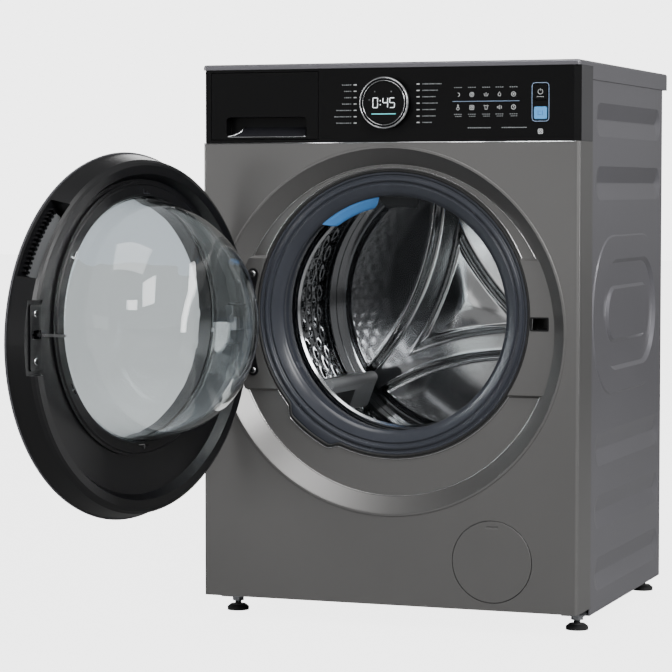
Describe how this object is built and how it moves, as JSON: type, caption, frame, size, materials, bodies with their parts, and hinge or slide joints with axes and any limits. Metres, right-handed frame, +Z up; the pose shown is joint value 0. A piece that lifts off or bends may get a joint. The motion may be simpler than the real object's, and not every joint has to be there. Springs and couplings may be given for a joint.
{
  "type": "front load washing machine",
  "caption": "Freestanding front load washing machine with a round door standing open, pressed steel cabinet, dial, drawer, drum, tub and feet.",
  "frame": {"origin": "on the floor at the middle of the cabinet's footprint (595 x 560 mm)", "axes": "+Z up, front faces -Y, +X to the right as seen from the front"},
  "size_m": [0.6776, 1.0677, 0.85],
  "materials": {
    "graphite_paint": "satin",
    "side_paint": "satin",
    "galvanised": "dull",
    "grey_plastic": "fine grain",
    "black_gloss": "polished",
    "black_plastic": "fine grain",
    "dark_plastic": "fine grain",
    "white_plastic": "smooth",
    "tub_plastic": "smooth",
    "key_blue": "polished",
    "bright_chrome": "polished",
    "stainless": "bright",
    "black_rubber": "matt",
    "grey_rubber": "satin",
    "bowl_glass": "polished",
    "window_glass": "polished",
    "concrete": "cast",
    "aluminium_cast": "cast",
    "bearing_steel": "ground",
    "copper_winding": "enamelled",
    "board_green": "lacquered",
    "laminated_board": "laminated"
  },
  "bodies": {
    "cabinet": {"front_panel": "graphite_paint", "side_panel_left": "side_paint", "side_panel_right": "side_paint", "rear_panel": "side_paint", "service_cover": "side_paint", "rear_plugs": "black_plastic", "worktop": "laminated_board", "top_crossbar": "galvanised", "base_tray": "dark_plastic", "foot_brackets": "galvanised", "control_bezel": "grey_plastic", "fascia": "black_gloss", "dial_face": "black_gloss", "control_board": "board_green", "dispenser_housing": "white_plastic", "inlet_valve": "white_plastic", "fill_hose": "black_rubber", "drain_pump": "dark_plastic", "sump_hose": "black_rubber", "drain_outlet": "dark_plastic", "tub_front": "tub_plastic", "tub_rear": "tub_plastic", "counterweights": "concrete", "heater": "stainless", "tub_springs": "galvanised", "dampers": "dark_plastic", "gasket": "grey_rubber", "gasket_clamp": "stainless", "bearings": "bearing_steel", "stator": "copper_winding", "door_lock": "black_plastic", "hinge_bracket": "black_plastic", "hinge_pin": "galvanised"},
    "door": {"hinge_arm": "galvanised", "door_cover": "grey_plastic", "door_window": "window_glass", "door_frame": "black_plastic", "door_retainer": "black_plastic", "door_glass": "bowl_glass", "latch_plate": "black_plastic"},
    "latch": {"latch_hook": "galvanised"},
    "drum": {"drum_shell": "stainless", "drum_front_ring": "stainless", "drum_back": "stainless", "lifters": "dark_plastic", "spider": "aluminium_cast", "drum_shaft": "stainless", "rotor": "galvanised"},
    "drawer": {"drawer_front": "black_gloss", "drawer_trim": "bright_chrome", "drawer_tray": "white_plastic"},
    "dial": {"dial_ring": "bright_chrome"},
    "power_key": {"power_button": "black_gloss"},
    "start_key": {"start_button": "key_blue"},
    "filter_door": {"filter_cover": "graphite_paint"},
    "pump_filter": {"filter_cap": "black_plastic"},
    "foot_fl": {"foot_front_left": "black_rubber"},
    "foot_fr": {"foot_front_right": "black_rubber"},
    "foot_rl": {"foot_rear_left": "black_rubber"},
    "foot_rr": {"foot_rear_right": "black_rubber"}
  },
  "joints": [
    {"name": "door_hinge", "type": "hinge", "parent": "cabinet", "child": "door", "pos_m": [-0.237, -0.303, 0.457], "axis": [0, 0, -1], "range_deg": [-103.8, 16.2]},
    {"name": "latch_pivot", "type": "hinge", "parent": "door", "child": "latch", "pos_m": [-0.34813, -0.76173, 0.461], "axis": [0, 0, 1], "range_deg": [0, 8], "stiffness_Nm_per_rad": 0.5, "springref_deg": -5.73},
    {"name": "drum_spin", "type": "hinge", "parent": "cabinet", "child": "drum", "pos_m": [0, 0.02, 0.473], "axis": [0, -1, 0], "continuous": true},
    {"name": "drawer_slide", "type": "slide", "parent": "cabinet", "child": "drawer", "axis": [0, -1, 0], "range_m": [0, 0.2]},
    {"name": "dial_turn", "type": "hinge", "parent": "cabinet", "child": "dial", "pos_m": [0, -0.28, 0.789], "axis": [0, -1, 0], "continuous": true},
    {"name": "power_press", "type": "slide", "parent": "cabinet", "child": "power_key", "axis": [0, 1, 0], "range_m": [0, 0.0012], "stiffness_N_per_m": 400, "springref_m": -0.001},
    {"name": "start_press", "type": "slide", "parent": "cabinet", "child": "start_key", "axis": [0, 1, 0], "range_m": [0, 0.0012], "stiffness_N_per_m": 400, "springref_m": -0.001},
    {"name": "filter_cover_pull", "type": "slide", "parent": "cabinet", "child": "filter_door", "axis": [0, -1, 0], "range_m": [0, 0.03]},
    {"name": "filter_cap_turn", "type": "hinge", "parent": "cabinet", "child": "pump_filter", "pos_m": [0.166, -0.26, 0.107], "axis": [0, -1, 0], "range_deg": [0, 270]},
    {"name": "foot_fl_level", "type": "slide", "parent": "cabinet", "child": "foot_fl", "axis": [0, 0, -1], "range_m": [0, 0.012]},
    {"name": "foot_fr_level", "type": "slide", "parent": "cabinet", "child": "foot_fr", "axis": [0, 0, -1], "range_m": [0, 0.012]},
    {"name": "foot_rl_level", "type": "slide", "parent": "cabinet", "child": "foot_rl", "axis": [0, 0, -1], "range_m": [0, 0.012]},
    {"name": "foot_rr_level", "type": "slide", "parent": "cabinet", "child": "foot_rr", "axis": [0, 0, -1], "range_m": [0, 0.012]}
  ]
}
